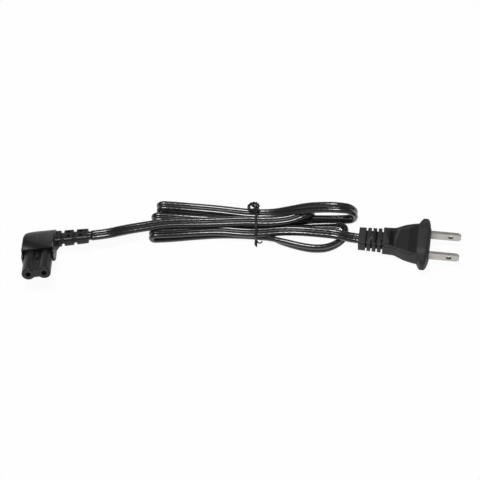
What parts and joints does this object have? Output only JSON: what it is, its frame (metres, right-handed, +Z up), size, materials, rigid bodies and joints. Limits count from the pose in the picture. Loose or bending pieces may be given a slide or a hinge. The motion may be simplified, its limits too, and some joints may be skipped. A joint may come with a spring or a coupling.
{
  "type": "type a plug",
  "caption": "Mains plug with flat parallel blades and a bell-shaped grip, on a flat twin flex folded into a tied hank that ends in a right-angled figure-8 connector.",
  "frame": {"origin": "on the floor, bottom centre of the plug's own box (grip, flange and blades), with the cord left out", "axes": "+X along the plug towards its blade tips, +Z up, +Y across the blades"},
  "size_m": [0.2353, 0.069, 0.0195],
  "materials": {
    "plug_moulding": "fine matte, panels smoother and darker",
    "plug_bridge": "matte",
    "blade_metal": "plated, warm silver, satin",
    "contact_metal": "satin",
    "connector_moulding": "satin",
    "flex_jacket": "glossy",
    "tie_sleeve": "satin",
    "copper": "bright strands"
  },
  "bodies": {
    "root": {"plug_body": "plug_moulding", "plug_insert": "plug_bridge", "blade_left": "blade_metal", "blade_right": "blade_metal", "wire_left_plug": "copper", "wire_right_plug": "copper", "flex_end_plug": "flex_jacket", "cord_plug_run": "flex_jacket", "cord_hank": "flex_jacket", "cord_connector_run": "flex_jacket", "twist_tie": "tie_sleeve", "connector_body": "connector_moulding", "connector_insert": "connector_moulding", "sleeve_left": "contact_metal", "sleeve_right": "contact_metal", "wire_left_connector": "copper", "wire_right_connector": "copper", "flex_end_connector": "flex_jacket"}
  },
  "joints": []
}
